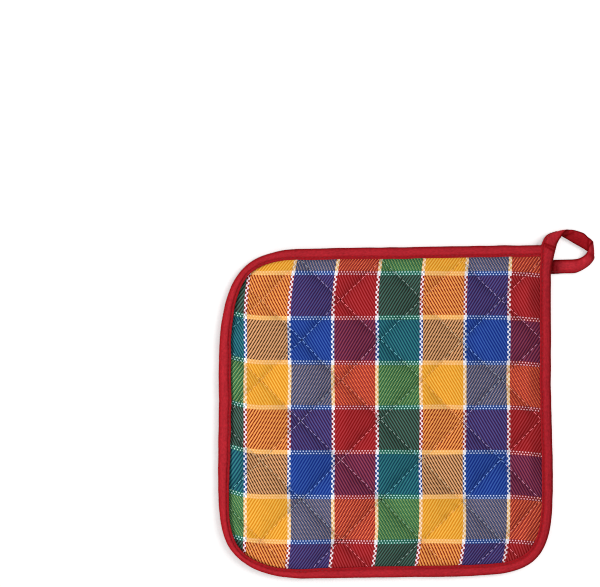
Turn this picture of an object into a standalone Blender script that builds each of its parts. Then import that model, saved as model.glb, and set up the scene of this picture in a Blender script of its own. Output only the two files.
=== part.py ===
"""Quilted cotton pot holder with a taped edge and a hanging loop, lying flat on its back.

Metres, +Z up. The origin is on the surface that it lies on, under the middle of its outline,
loop included. +Y is the side that the loop's corner stands on and +X the side that it hangs over.
"""
import math
from collections import namedtuple

import bmesh
import bpy
from mathutils import Vector
from mathutils.geometry import delaunay_2d_cdt, interpolate_bezier

NAME = "pot_holder"

# Outline at the binding's outer edge: a square corner at the loop and three corners rounded by hand.
# Anticlockwise from the loop's corner. A run is how far along the side the rounding reaches, in to the
# corner and out of it, and a fullness how far the curve keeps to that side, as a share of the run.
Corner = namedtuple("Corner", "x y run_in full_in run_out full_out side_steps")
LOOP_CORNER = (0.0881, 0.0969)
ROUND_CORNERS = (
    Corner(-0.1147, 0.0952, 0.052, 0.82, 0.098, 0.78, 18),
    Corner(-0.1147, -0.1063, 0.064, 0.63, 0.057, 0.95, 5),
    Corner(0.0889, -0.1052, 0.061, 0.83, 0.052, 0.84, 10),
)
LAST_SIDE_STEPS = 18
CORNER_STEPS = 12
# How far the hand-guided edge wanders in from that outline, at shares of the way round
EDGE_WANDER = (
    (0, 0), (0.04, 0), (0.08, 0.0002), (0.11, 0.0005), (0.16, 0.0006), (0.19, 0.0009), (0.228, 0.0012),
    (0.244, 0.0006), (0.26, -0.0001), (0.28, -0.0006), (0.308, -0.0005), (0.34, 0.0002), (0.36, 0.0006),
    (0.375, 0.0005), (0.40, 0.0002), (0.44, 0.0001), (0.48, -0.0001), (0.505, 0.0003), (0.53, -0.0001),
    (0.547, -0.0004), (0.57, -0.0002), (0.61, 0.0001), (0.67, 0.0003), (0.691, 0.0006), (0.71, 0.0003),
    (0.74, -0.0002), (0.78, -0.0005), (0.815, -0.0008), (0.84, -0.0005), (0.866, 0), (0.885, 0.0003),
    (0.92, 0.0001), (0.96, 0.0001), (1, 0),
)

# Quilting: two sets of parallel lines at 45 degrees, given by one crossing and the distance between lines
QUILT_CROSSING = Vector((-0.0395, 0.0634))
QUILT_PITCH = 0.0345
FACE_STEPS = 8  # points from line to line on the face
BACK_STEPS = 4  # and on the back, whose puffs are pressed flat
SEWN_TOP = 0.0038  # height of the face along the quilting lines
PUFF_RISE = 0.0027  # how far a puff rises above them
PUFF_ROUNDNESS = 0.6  # under 1 the puff is full, with steep sides
BACK_GROOVE = 0.0008  # how far the back is drawn up along the lines

# Binding: a strip folded over the edge, with the pad's edge pressed thin inside it
TAPE_WIDTH = 0.0062  # of each side of the fold
TAPE_THICK = 0.0009
BINDING_HEIGHT = 0.0044
GAP = 0.0003
PAD_EDGE = 0.0013  # from the outline in to the pad's own edge
PAD_EDGE_BLUNT = 0.0006  # how far in the pad's edge reaches its pressed thickness
PAD_EDGE_LOW = TAPE_THICK + GAP
PAD_EDGE_HIGH = BINDING_HEIGHT - TAPE_THICK - GAP
RISE_FROM_TAPE = 0.010  # over which the pad swells to its full height beside the tape
SEAM_GAP = 0.0004  # where the strip's first end meets its last side
FLARE = 0.0028  # how far the fold opens out where the strip leaves the pad at the loop's corner
FLARE_START = 0.083  # height up the side where it begins to open

# The corner rides up on the end of the loop, which is tucked under it
LIFT_CENTRE = Vector((0.086, 0.084))
LIFT_HEIGHT = 0.0017
LIFT_REACH = 0.055

# Loop: the strip folded flat. A row is one place along it: its left and right edges, seen from the
# side that is up where it leaves the binding, and how far it has been turned over, in degrees.
LOOP_THICK = 0.0012
LOOP_STEPS = 4  # rings from one row to the next
Place = namedtuple("Place", "left_x left_y left_z right_x right_y right_z turn")
LOOP_PLACES = (
    Place(0.0823, 0.0972, 0.0037, 0.0910, 0.0972, 0.0037, 0),
    Place(0.0838, 0.1006, 0.0038, 0.0923, 0.0987, 0.0038, 0),
    Place(0.0862, 0.1028, 0.0040, 0.0935, 0.1004, 0.0041, 0),
    Place(0.0884, 0.1039, 0.0043, 0.0947, 0.1022, 0.0045, 0),
    Place(0.0901, 0.1041, 0.0046, 0.0966, 0.1044, 0.0048, 0),
    Place(0.0913, 0.1046, 0.0035, 0.0986, 0.1060, 0.0038, 90),  # first fold, under
    Place(0.0924, 0.1039, 0.0023, 0.1005, 0.1057, 0.0026, 180),
    Place(0.0949, 0.1023, 0.0013, 0.1030, 0.1058, 0.0021, 180),
    Place(0.0991, 0.0999, 0.0010, 0.1059, 0.1051, 0.0019, 180),
    Place(0.1031, 0.0976, 0.0009, 0.1086, 0.1040, 0.0018, 180),
    Place(0.1068, 0.0955, 0.0009, 0.1107, 0.1020, 0.0018, 180),
    Place(0.1103, 0.0934, 0.0009, 0.1124, 0.1003, 0.0019, 180),
    Place(0.1127, 0.0917, 0.0013, 0.1131, 0.0992, 0.0022, 180),
    Place(0.1138, 0.0895, 0.0025, 0.1133, 0.0979, 0.0033, 270),  # second fold, over
    Place(0.1131, 0.0870, 0.0036, 0.1119, 0.0963, 0.0043, 360),
    Place(0.1114, 0.0848, 0.0034, 0.1106, 0.0932, 0.0038, 360),
    Place(0.1086, 0.0828, 0.0027, 0.1089, 0.0908, 0.0029, 360),
    Place(0.1055, 0.0811, 0.0018, 0.1061, 0.0889, 0.0020, 360),
    Place(0.1025, 0.0802, 0.0011, 0.1028, 0.0881, 0.0012, 360),
    Place(0.0964, 0.0800, 0.0008, 0.0964, 0.0880, 0.0008, 360),
    Place(0.0915, 0.0797, 0.0007, 0.0915, 0.0878, 0.0007, 360),
    Place(0.0835, 0.0795, 0.0007, 0.0835, 0.0876, 0.0007, 360),  # under the binding
)

CHECK_MEAN = (0.19, 0.08, 0.08)  # of the check's red, gold, blue and green
TAPE_RED = (0.39, 0.02, 0.03)
CLOTH_ROUGHNESS = 0.9
SHARP_ANGLE = math.radians(50)


# --- Edge ---------------------------------------------------------------------------------------


def moved_in(x, y, inset):
    """A corner of the outline, moved in from both of its sides."""
    return Vector((x - math.copysign(inset, x), y - math.copysign(inset, y)))


def side(start, end, steps):
    """The stations between two ends of a straight side, without the ends."""
    return [start.lerp(end, step / steps) for step in range(1, steps)]


def at_share(table, share):
    """The value of a table at a share, in a straight line between its rows."""
    for (before, low), (after, high) in zip(table, table[1:]):
        if share <= after:
            return low + (high - low) * (share - before) / (after - before)
    return table[-1][1]


def wandering(path):
    """The stations moved by the edge's wander, apart from both ends."""
    runs = [0]
    for before, after in zip(path, path[1:]):
        runs.append(runs[-1] + (after - before).length)
    moved = [path[0]]
    for before, place, after, run in zip(path, path[1:], path[2:], runs[1:]):
        ahead = (after - before).normalized()
        moved.append(place + Vector((-ahead.y, ahead.x)) * at_share(EDGE_WANDER, run / runs[-1]))
    return [*moved, path[-1]]


def edge_path(inset, start=None, end=None):
    """Stations round the edge at an inset, anticlockwise from the loop's corner and back to it."""
    first = moved_in(*LOOP_CORNER, inset)
    corners = [moved_in(corner.x, corner.y, inset) for corner in ROUND_CORNERS]
    stops = [first, *corners, first]
    path = [start or first]
    for corner, before, place, after in zip(ROUND_CORNERS, stops, stops[1:], stops[2:]):
        back = (before - place).normalized() * (corner.run_in - inset)
        ahead = (after - place).normalized() * (corner.run_out - inset)
        curve = interpolate_bezier(
            place + back, place + back * (1 - corner.full_in),
            place + ahead * (1 - corner.full_out), place + ahead, CORNER_STEPS,
        )
        path += side(path[-1], curve[0], corner.side_steps) + curve
    return wandering(path + side(path[-1], end or first, LAST_SIDE_STEPS) + [end or first])


def smooth(share):
    share = min(max(share, 0), 1)
    return share * share * (3 - 2 * share)


def lift(x, y):
    """How far the corner over the loop's end is raised."""
    return LIFT_HEIGHT * (1 - smooth((Vector((x, y)) - LIFT_CENTRE).length / LIFT_REACH))


def ring(path, height):
    return [Vector((x, y, height + lift(x, y))) for x, y in (point.xy for point in path)]


# --- Meshes -------------------------------------------------------------------------------------


def add_skin(bm, rings, closed):
    """Join each ring of points to the next; a closed ring's last point is joined to its first."""
    rows = [[bm.verts.new(point) for point in points] for points in rings]
    for row, following in zip(rows, rows[1:]):
        ends = zip(row, row[1:] + row[:1], following[1:] + following[:1], following)
        for corners in list(ends)[: len(row) if closed else -1]:
            bm.faces.new(corners)
    return rows


def add_object(bm, name, colour, collection):
    """Close the mesh's faces outward and put it in the scene with a material of its own."""
    bmesh.ops.recalc_face_normals(bm, faces=bm.faces)
    mesh = bpy.data.meshes.new(name)
    bm.to_mesh(mesh)
    bm.free()
    mesh.shade_smooth()
    mesh.set_sharp_from_angle(angle=SHARP_ANGLE)
    material = bpy.data.materials.new(name)
    material.use_nodes = True
    shader = material.node_tree.nodes["Principled BSDF"]
    shader.inputs["Base Color"].default_value = (*colour, 1)
    shader.inputs["Roughness"].default_value = CLOTH_ROUGHNESS
    shader.inputs["Metallic"].default_value = 0
    mesh.materials.append(material)
    collection.objects.link(bpy.data.objects.new(name, mesh))


# --- Quilted pad --------------------------------------------------------------------------------


def from_lines(x, y):
    """How far a point is along each set of quilting lines, counted in lines."""
    away = Vector((x, y)) - QUILT_CROSSING
    return (away.x + away.y) / math.sqrt(2) / QUILT_PITCH, (away.y - away.x) / math.sqrt(2) / QUILT_PITCH


def swell(from_tape):
    """0 at the tape's edge and 1 where the pad has its full height."""
    return smooth(from_tape / RISE_FROM_TAPE)


def face_height(x, y, from_tape):
    across, along = from_lines(x, y)
    puff = abs(math.sin(math.pi * across) * math.sin(math.pi * along)) ** PUFF_ROUNDNESS
    full = SEWN_TOP + PUFF_RISE * puff
    return PAD_EDGE_HIGH + (full - PAD_EDGE_HIGH) * swell(from_tape)


def back_height(x, y, from_tape):
    to_line = min(abs(count - round(count)) for count in from_lines(x, y))
    groove = BACK_GROOVE * max(0, 1 - to_line * BACK_STEPS)
    return PAD_EDGE_LOW + (groove - PAD_EDGE_LOW) * swell(from_tape)


def lattice(steps, outline, margin):
    """Points on and between the quilting lines, with their distance in from the outline."""
    counts = [Vector(from_lines(*point)) * steps for point in outline]
    across = [math.floor(count.x) for count in counts]
    along = [math.floor(count.y) for count in counts]
    spacing = QUILT_PITCH / steps / math.sqrt(2)
    for column in range(min(across), max(across) + 1):
        for row in range(min(along), max(along) + 1):
            point = QUILT_CROSSING + Vector((column - row, column + row)) * spacing
            inside = depth_inside(point, outline)
            if inside > margin:
                yield point, inside


def depth_inside(point, outline):
    """Least distance in from the outline's sides, or below zero outside it."""
    depth = math.inf
    for start, end in zip(outline, outline[1:] + outline[:1]):
        run = end - start
        away = point - start
        depth = min(depth, (run.x * away.y - run.y * away.x) / run.length)
    return depth


def fill_face(bm, rim, steps, height):
    """Fill one face of the pad inside its rim with the lattice's points at their heights."""
    outline = [vert.co.xy for vert in rim]
    margin = QUILT_PITCH / steps / 2
    inner = list(lattice(steps, outline, margin))
    rim_edges = [(place, (place + 1) % len(rim)) for place in range(len(rim))]
    flat = outline + [point for point, _ in inner]
    triangles = delaunay_2d_cdt(flat, rim_edges, [], 1, 1e-7)[2]
    verts = list(rim)
    for (x, y), inside in inner:
        verts.append(bm.verts.new((x, y, height(x, y, inside) + lift(x, y))))
    for triangle in triangles:
        bm.faces.new([verts[place] for place in triangle])


def build_pad(collection):
    """A blunt edge inside the tape, and the two quilted faces that it joins."""
    low, high = PAD_EDGE_LOW, PAD_EDGE_HIGH
    in_tape, blunt = TAPE_WIDTH + GAP, PAD_EDGE + PAD_EDGE_BLUNT
    levels = ((in_tape, low), (blunt, low), (PAD_EDGE, low + PAD_EDGE_BLUNT),
              (PAD_EDGE, high - PAD_EDGE_BLUNT), (blunt, high), (in_tape, high))
    bm = bmesh.new()
    rims = add_skin(bm, [ring(edge_path(inset)[:-1], level) for inset, level in levels], closed=True)
    fill_face(bm, rims[0], BACK_STEPS, back_height)
    fill_face(bm, rims[-1], FACE_STEPS, face_height)
    add_object(bm, "quilted_pad", CHECK_MEAN, collection)


# --- Binding and loop ---------------------------------------------------------------------------


def tape_section():
    """The folded strip's section, as distances in from the outline and heights, all the way round."""
    middle, inner = BINDING_HEIGHT / 2, BINDING_HEIGHT / 2 - TAPE_THICK
    nose = [(middle * (1 - math.sin(angle)), middle * (1 + math.cos(angle)))
            for angle in (math.pi * step / 6 for step in range(7))]
    cavity = [(2 * TAPE_THICK, middle - inner), (TAPE_THICK, middle - inner / 2),
              (TAPE_THICK, middle + inner / 2), (2 * TAPE_THICK, middle + inner)]
    outer = [(TAPE_WIDTH, BINDING_HEIGHT), *nose, (TAPE_WIDTH, 0)]
    return outer + [(TAPE_WIDTH, TAPE_THICK), *cavity, (TAPE_WIDTH, BINDING_HEIGHT - TAPE_THICK)]


def flared(point, inset):
    """A point of the strip's last side, moved out as the fold opens towards the loop."""
    corner_x, corner_y = LOOP_CORNER
    if point.x < corner_x - TAPE_WIDTH - SEAM_GAP / 2:
        return point
    opened = smooth((point.y - FLARE_START) / (corner_y - FLARE_START)) * (1 - inset / TAPE_WIDTH)
    return Vector((point.x + FLARE * opened, point.y))


def build_binding(collection):
    """The strip starts beside its own last side at the loop's corner and goes round to that corner."""
    corner_x, corner_y = LOOP_CORNER
    rings = []
    for inset, height in tape_section():
        start = Vector((corner_x - TAPE_WIDTH - SEAM_GAP, corner_y - inset))
        end = Vector((corner_x - inset, corner_y))
        path = [flared(point.xy, inset) for point in edge_path(inset, start, end)]
        rings.append(ring(path, height))
    bm = bmesh.new()
    rows = add_skin(bm, [*rings, rings[0]], closed=False)
    bmesh.ops.remove_doubles(bm, verts=rows[0] + rows[-1], dist=1e-6)
    bmesh.ops.holes_fill(bm, edges=bm.edges)
    bmesh.ops.triangulate(bm, faces=[face for face in bm.faces if len(face.verts) > 4])
    add_object(bm, "edge_binding", TAPE_RED, collection)


def eased(before, start, end, after, share):
    """A smooth curve through the middle two of four values."""
    slope_in, slope_out = (end - before) / 2, (after - start) / 2
    run = end - start
    return (start + slope_in * share
            + (3 * run - 2 * slope_in - slope_out) * share ** 2
            + (slope_in + slope_out - 2 * run) * share ** 3)


def along_loop():
    """The loop's edges and turn as smooth rows through its places."""
    knots = [Vector(place) for place in LOOP_PLACES]
    knots = [knots[0] * 2 - knots[1], *knots, knots[-1] * 2 - knots[-2]]
    for four in zip(knots, knots[1:], knots[2:], knots[3:]):
        for step in range(LOOP_STEPS):
            yield eased(*four, step / LOOP_STEPS)
    yield knots[-2]


def build_loop(collection):
    """The strip folded flat, with soft edges, swept along its two edge lines."""
    sections = []
    for place in along_loop():
        left, right = Vector(place[:3]), Vector(place[3:6])
        centre, half = (left + right) / 2, (right - left) / 2
        beside = Vector((0, 0, 1)).cross(half).normalized()
        turn = math.radians(place[6])
        up = (half.cross(beside).normalized() * math.cos(turn) + beside * math.sin(turn)) * LOOP_THICK / 2
        inner = half - half.normalized() * LOOP_THICK / 4
        sections.append([
            centre + half, centre + inner + up, centre + up, centre - inner + up,
            centre - half, centre - inner - up, centre - up, centre + inner - up,
        ])
    bm = bmesh.new()
    add_skin(bm, sections, closed=True)
    bmesh.ops.holes_fill(bm, edges=bm.edges)
    add_object(bm, "hanging_loop", TAPE_RED, collection)


def main():
    for old in list(bpy.data.objects):
        bpy.data.objects.remove(old)
    collection = bpy.data.collections.new(NAME)
    bpy.context.scene.collection.children.link(collection)
    build_pad(collection)
    build_binding(collection)
    build_loop(collection)


main()
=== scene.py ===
"""Quilted cotton pot holder with a taped edge and a hanging loop, lying flat on its back. Metres, +Z up."""
import math
from collections import namedtuple

import bmesh
import bpy
import numpy as np
from mathutils import Euler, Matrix, Vector, kdtree, noise
from mathutils.geometry import delaunay_2d_cdt


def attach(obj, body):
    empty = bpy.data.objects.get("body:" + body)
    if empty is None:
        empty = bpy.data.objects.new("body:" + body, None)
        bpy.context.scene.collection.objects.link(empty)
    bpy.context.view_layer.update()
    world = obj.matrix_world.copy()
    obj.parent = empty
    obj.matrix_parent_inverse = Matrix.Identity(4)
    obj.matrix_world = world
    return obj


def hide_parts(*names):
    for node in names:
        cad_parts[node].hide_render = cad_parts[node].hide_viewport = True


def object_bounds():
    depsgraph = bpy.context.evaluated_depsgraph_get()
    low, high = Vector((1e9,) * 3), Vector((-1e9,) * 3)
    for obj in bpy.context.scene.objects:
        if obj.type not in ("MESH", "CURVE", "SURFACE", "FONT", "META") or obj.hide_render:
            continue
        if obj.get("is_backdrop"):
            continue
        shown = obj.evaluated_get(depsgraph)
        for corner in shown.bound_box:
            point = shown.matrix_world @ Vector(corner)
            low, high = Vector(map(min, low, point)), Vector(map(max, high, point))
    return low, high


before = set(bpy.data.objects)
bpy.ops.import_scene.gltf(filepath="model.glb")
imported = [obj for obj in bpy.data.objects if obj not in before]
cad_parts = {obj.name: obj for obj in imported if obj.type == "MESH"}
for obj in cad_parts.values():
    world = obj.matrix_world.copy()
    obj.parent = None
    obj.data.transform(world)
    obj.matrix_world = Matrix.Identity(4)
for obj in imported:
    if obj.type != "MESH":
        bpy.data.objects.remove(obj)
cad_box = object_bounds()
BODY = "root"


# --- Quilted pad --------------------------------------------------------------------------------
# Two layers of yarn-dyed cotton twill, checked in gold, blue, red and green with white lines, over a
# cotton batting. They are quilted through in diamonds, and the edge is pressed thin inside the binding.

# The outline at the binding's outer edge: a square corner at the loop and three corners rounded by hand.
# A run is how far along the side the rounding reaches, in to the corner and out of it, and a fullness
# how far the curve keeps to that side, as a share of the run.
Corner = namedtuple("Corner", "x y run_in full_in run_out full_out")
LOOP_CORNER = np.array((0.0881, 0.0969))
ROUND_CORNERS = (
    Corner(-0.1147, 0.0952, 0.052, 0.82, 0.098, 0.78),
    Corner(-0.1147, -0.1063, 0.064, 0.63, 0.057, 0.95),
    Corner(0.0889, -0.1052, 0.061, 0.83, 0.052, 0.84),
)
STATION_SPACING = 0.0007
# How far the hand-guided edge wanders in from that outline, at shares of the way round
EDGE_WANDER = (
    (0, 0), (0.04, 0), (0.08, 0.0002), (0.11, 0.0005), (0.16, 0.0006), (0.19, 0.0009), (0.228, 0.0012),
    (0.244, 0.0006), (0.26, -0.0001), (0.28, -0.0006), (0.308, -0.0005), (0.34, 0.0002), (0.36, 0.0006),
    (0.375, 0.0005), (0.40, 0.0002), (0.44, 0.0001), (0.48, -0.0001), (0.505, 0.0003), (0.53, -0.0001),
    (0.547, -0.0004), (0.57, -0.0002), (0.61, 0.0001), (0.67, 0.0003), (0.691, 0.0006), (0.71, 0.0003),
    (0.74, -0.0002), (0.78, -0.0005), (0.815, -0.0008), (0.84, -0.0005), (0.866, 0), (0.885, 0.0003),
    (0.92, 0.0001), (0.96, 0.0001), (1, 0),
)

# Quilting lines at 45 degrees. A stitch's middle is half-way between two of its holes.
QUILT_CROSSING = np.array((-0.0395, 0.0634))
QUILT_PITCH = 0.0345
STITCHES_PER_LINE = 10
STITCH_STEPS = 4
FACE_STEPS = STITCHES_PER_LINE * STITCH_STEPS
BACK_STEPS = 13
# Where a value wavers, each wave is how far it swings, how long it is, and a seed of its own. Lines that
# are guided by hand are never dead straight.
QUILT_WANDER = ((0.0008, 0.045, 3.1), (0.0008, 0.045, 8.7))
LATTICE_REACH = 0.34  # from the first crossing to past the far corner
HALF_PIECE = 0.118  # and a little over half the piece's size

# Heights above the underside, at the stitches and from there up to the middle of a puff
SEWN_TOP = 0.0036
PUFF_RISE = 0.0031
PUFF_FULLNESS = 0.55  # the smaller, the steeper a puff's sides and the flatter its top
PUFF_PINCH = 0.10  # and the smaller, the sharper the valley between two puffs
BACK_GROOVE, BACK_GROOVE_REACH = 0.0008, 0.2  # the reach as a share of the lines' pitch
TAPE_INSET = 0.0055
RISE_FROM_TAPE = 0.010
PAD_RIM = ((0.0024, 0.0012), (0.0015, 0.0017), (0.0015, 0.0025), (0.0024, 0.0030))  # inset and height

# Small gathers beside the stitches: how high, how far they reach from the line, and how far apart
GATHER_HEIGHT, GATHER_REACH, GATHER_SPACING = 0.0007, 0.004, 0.0042
LUMPS = ((0.00028, 0.013, 1.7), (0.00010, 0.005, 5.2))
# Dents along the lines, less deep under the thread, and one step away from the line a share as deep
DENT, DENT_UNDER_THREAD, DENT_BESIDE = 0.0004, 0.00012, 0.4
# Painted shade: how much darker the cloth is drawn where it is pulled in along a line of stitches, and at their holes
LINE_SHADE, LINE_REACH = 0.13, 0.0036
HOLE_SHADE = 0.40
SHADE_FADE = 0.003  # over this distance in from the tape it comes on

# The corner rides up on the end of the loop, which is tucked under it.
LIFT_CENTRE = np.array((0.086, 0.084))
LIFT_HEIGHT = 0.0017
LIFT_REACH = 0.055


def smooth(share):
    """A rise from 0 to 1 that eases in and out."""
    share = np.clip(share, 0, 1)
    return share * share * (3 - 2 * share)


def lift(points):
    """How far each point is raised by the loop's end under the corner."""
    away = np.linalg.norm(points[..., :2] - LIFT_CENTRE, axis=-1)
    return LIFT_HEIGHT * (1 - smooth(away / LIFT_REACH))


def wavering(points, *waves):
    """A smooth random value at each point, which swings about as far as its waves say."""
    return sum(swing * 1.6 * np.array([noise.noise(Vector((*(point / length), seed))) for point in points])
               for swing, length, seed in waves)


def smoothed(values, reach):
    """A row of values with its corners eased, and its ends kept."""
    padded = np.concatenate([2 * values[0] - values[reach:0:-1], values, 2 * values[-1] - values[-2:-reach - 2:-1]])
    return np.convolve(padded, np.hanning(2 * reach + 1) / np.hanning(2 * reach + 1).sum(), "valid")


def way_in(line):
    """The way in from each station of an anticlockwise line."""
    ahead = np.gradient(line, axis=0)
    ahead /= np.linalg.norm(ahead, axis=1)[:, None]
    return np.stack([-ahead[:, 1], ahead[:, 0]], axis=1)


def edge_line():
    """Stations round the outline, anticlockwise from the loop's corner, and the way in from each."""
    stops = [LOOP_CORNER, *(np.array((corner.x, corner.y)) for corner in ROUND_CORNERS), LOOP_CORNER]
    path = [LOOP_CORNER]
    share = np.linspace(0, 1, 60)[:, None]
    for corner, before, place, after in zip(ROUND_CORNERS, stops, stops[1:], stops[2:]):
        back = (before - place) / np.linalg.norm(before - place) * corner.run_in
        ahead = (after - place) / np.linalg.norm(after - place) * corner.run_out
        first, last = place + back, place + ahead
        in_handle, out_handle = place + back * (1 - corner.full_in), place + ahead * (1 - corner.full_out)
        path += list(first * (1 - share) ** 3 + in_handle * 3 * share * (1 - share) ** 2
                     + out_handle * 3 * share ** 2 * (1 - share) + last * share ** 3)
    path = np.array([*path, LOOP_CORNER])
    run = np.concatenate(([0], np.cumsum(np.linalg.norm(np.diff(path, axis=0), axis=1))))
    even = np.linspace(0, run[-1], round(run[-1] / STATION_SPACING) + 1)
    line = np.stack([np.interp(even, run, path[:, axis]) for axis in (0, 1)], axis=1)
    wander = smoothed(np.interp(even / run[-1], *zip(*EDGE_WANDER)), 9)
    line += way_in(line) * wander[:, None]
    return even, line, way_in(line)


edge_run, edge, edge_in = edge_line()
edge_tree = kdtree.KDTree(len(edge))
for number, station in enumerate(edge):
    edge_tree.insert((*station, 0), number)
edge_tree.balance()


def depth_inside(points):
    """How far in from the outline each point is."""
    near = [edge_tree.find((*point, 0))[1] for point in points]
    return ((points - edge[near]) * edge_in[near]).sum(axis=1)


def rim_loop(inset):
    """The outline moved in, as a closed loop with one point at the loop's corner."""
    inner = edge + edge_in * inset
    kept = (inner <= LOOP_CORNER - inset + 1e-9).all(axis=1)
    return np.vstack([LOOP_CORNER - inset, inner[kept][1:-1:2]])


def quilt_lattice(steps, margin):
    """Points on and between the quilting lines, counted from the first crossing in both directions."""
    reach = int(LATTICE_REACH / QUILT_PITCH * steps)
    across, along = (grid.ravel() for grid in np.mgrid[-reach:reach, -reach:reach])
    spacing = QUILT_PITCH / steps / math.sqrt(2)
    points = QUILT_CROSSING + np.stack([across - along, across + along], axis=1) * spacing
    near = (np.abs(points) < HALF_PIECE).all(axis=1)
    points, across, along = points[near], across[near], along[near]
    points = points + np.stack([wavering(points, wave) for wave in QUILT_WANDER], axis=1)
    inside = depth_inside(points)
    kept = inside > margin
    return points[kept], across[kept], along[kept], inside[kept]


def puff(count):
    """0 on a quilting line and 1 midway between two of them, with steep sides and a flat top."""
    swing = (np.sin(np.pi * count) ** 2 + PUFF_PINCH ** 2) ** (PUFF_FULLNESS / 2)
    least, most = PUFF_PINCH ** PUFF_FULLNESS, (1 + PUFF_PINCH ** 2) ** (PUFF_FULLNESS / 2)
    return (swing - least) / (most - least)


def gathers(to_line, along, line):
    """Small gathers across a line of stitches, which fade out away from it and differ from line to line."""
    fade = np.exp(-np.abs(to_line) * QUILT_PITCH / GATHER_REACH)
    wave = [noise.noise(Vector((s * QUILT_PITCH / GATHER_SPACING + d * 3.0, n * 7.31, d * 2.0)))
            for s, n, d in zip(along, line, to_line)]
    return GATHER_HEIGHT * fade * np.array(wave)


def beside_line(count):
    """How many steps of the face's lattice each point is from the nearest quilting line."""
    return np.abs((count + FACE_STEPS // 2) % FACE_STEPS - FACE_STEPS // 2)


def face_heights(points, across, along, inside):
    """Heights of the quilted face, with the puffs, the gathers beside the stitches and their dents."""
    a, b = across / FACE_STEPS, along / FACE_STEPS
    line_a, line_b = np.round(a), np.round(b)
    full = SEWN_TOP + PUFF_RISE * puff(a) * puff(b)
    full += gathers(a - line_a, b, line_a) + gathers(b - line_b, a, line_b + 0.5)
    full += wavering(points, *LUMPS)
    for count, other in ((across, along), (along, across)):
        beside = beside_line(count)
        dent = np.where(other % STITCH_STEPS == STITCH_STEPS // 2, DENT_UNDER_THREAD, DENT)
        full -= np.where(beside == 0, dent, np.where(beside == 1, dent * DENT_BESIDE, 0))
    swell = smooth((inside - TAPE_INSET) / RISE_FROM_TAPE)
    return PAD_RIM[-1][1] + (full - PAD_RIM[-1][1]) * swell


def back_heights(points, across, along, inside):
    """Heights of the back, whose puffs are pressed flat on the surface below."""
    to_line = np.minimum(*(np.abs(count / BACK_STEPS - np.round(count / BACK_STEPS)) for count in (across, along)))
    groove = BACK_GROOVE * np.clip(1 - to_line / BACK_GROOVE_REACH, 0, 1) ** 1.5
    swell = smooth((inside - TAPE_INSET) / RISE_FROM_TAPE)
    return PAD_RIM[0][1] + (groove - PAD_RIM[0][1]) * swell


def painted_crease_shades(across, along, inside):
    """Painted shade along the stitches, where the cloth is drawn in, and most at their holes."""
    painted_shades = np.zeros(len(across))
    for count, other in ((across, along), (along, across)):
        beside = beside_line(count)
        away = beside * QUILT_PITCH / FACE_STEPS
        hole = np.where((beside == 0) & (other % STITCH_STEPS == 0), HOLE_SHADE, 0)
        painted_shades += LINE_SHADE * np.exp(-(away / LINE_REACH) ** 2) + hole
    return painted_shades * smooth((inside - TAPE_INSET) / SHADE_FADE)


def raised(points, heights):
    """Flat points put at their heights, over the loop's end too."""
    return np.column_stack([points, heights + lift(points)])


def add_object(name, data):
    """An object in the scene, at the origin and unturned."""
    added = bpy.data.objects.new(name, data)
    bpy.context.scene.collection.objects.link(added)
    return added


def finished(name, points, faces, material):
    """A smooth mesh object whose faces point outward."""
    mesh = bpy.data.meshes.new(name)
    mesh.from_pydata([tuple(point) for point in points], [], faces)
    bm = bmesh.new()
    bm.from_mesh(mesh)
    bmesh.ops.recalc_face_normals(bm, faces=bm.faces)
    bm.to_mesh(mesh)
    bm.free()
    mesh.shade_smooth()
    mesh.materials.append(material)
    return add_object(name, mesh)


def add_attribute(mesh, name, kind, values):
    """Stores a value for each point of a mesh, for its material or its stitches to follow."""
    key = {"FLOAT": "value", "FLOAT_VECTOR": "vector", "FLOAT_COLOR": "color"}[kind]
    mesh.attributes.new(name, kind, "POINT").data.foreach_set(key, np.array(values, dtype=np.float32).ravel())


def with_zero(places):
    """Millimetres along and across a cloth as vectors."""
    return np.pad(places, ((0, 0), (0, 1)))


def dye(code):
    """An sRGB hex colour as linear light."""
    levels = [int(code[place:place + 2], 16) / 255 for place in (1, 3, 5)]
    return (*(level / 12.92 if level <= 0.04045 else ((level + 0.055) / 1.055) ** 2.4 for level in levels), 1)


def put(tree, kind, *values, at=None, give=0, **settings):
    """Adds one node with its settings, fills or links its sockets, and gives one of its outputs."""
    node = tree.nodes.new(kind)
    for name, setting in settings.items():
        setattr(node, name, setting)
    for socket, value in {**dict(enumerate(values)), **(at or {})}.items():
        if isinstance(value, bpy.types.NodeSocket):
            tree.links.new(value, node.inputs[socket])
        else:
            node.inputs[socket].default_value = value
    return node.outputs[give] if node.outputs else None


def new_material(name):
    """An empty material and its tree of nodes."""
    material = bpy.data.materials.new(name)
    material.use_nodes = True
    material.node_tree.nodes.clear()
    return material, material.node_tree


# The white lines of the check, as millimetres from the middle of the piece, and their pitches
FIRST_WHITE_ENDS, COLUMN_PITCH, WHITE_ENDS = -98.1, 26.73, 2.0
FIRST_WHITE_PICKS, ROW_PITCH, WHITE_PICKS = 79.8, 27.23, 2.76
END = (COLUMN_PITCH - WHITE_ENDS) / 55  # the width of one warp yarn
PICK = (ROW_PITCH - WHITE_PICKS) / 32  # and of one weft yarn
WARP_DYES = ("#eda732", "#0f4499", "#a30c19", "#00705a")
WEFT_DYES = ("#a30c19", "#0f4499", "#e09d38")
WHITE_DYE = "#e8e4ea"
EYE_WEIGHTS = (0.30, 0.59, 0.11)  # how light each primary looks
MINGLING = 0.82  # how far the yarns of a cell take up the hue that they make together
WARP_SHARE = 0.66  # and how much of that hue is the warp's
GAMMA = 2.2
# Gold on gold has no darker yarn to dull it, and a painted reflection stands for the light that gold throws on other
# yarns, which warms them.
# The mixed cells come out a little browner and pinker than their two dyes.
CELL_TINTS = (
    ("all_gold", (0.96, 1.18, 1.15, 1)),
    ("under_gold", (1.30, 0.95, 0.40, 1)),
    ("orange", (0.86, 1.03, 1.00, 1)),
    ("tan_or_grey", (1.09, 0.93, 1.06, 1)),
)
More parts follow.
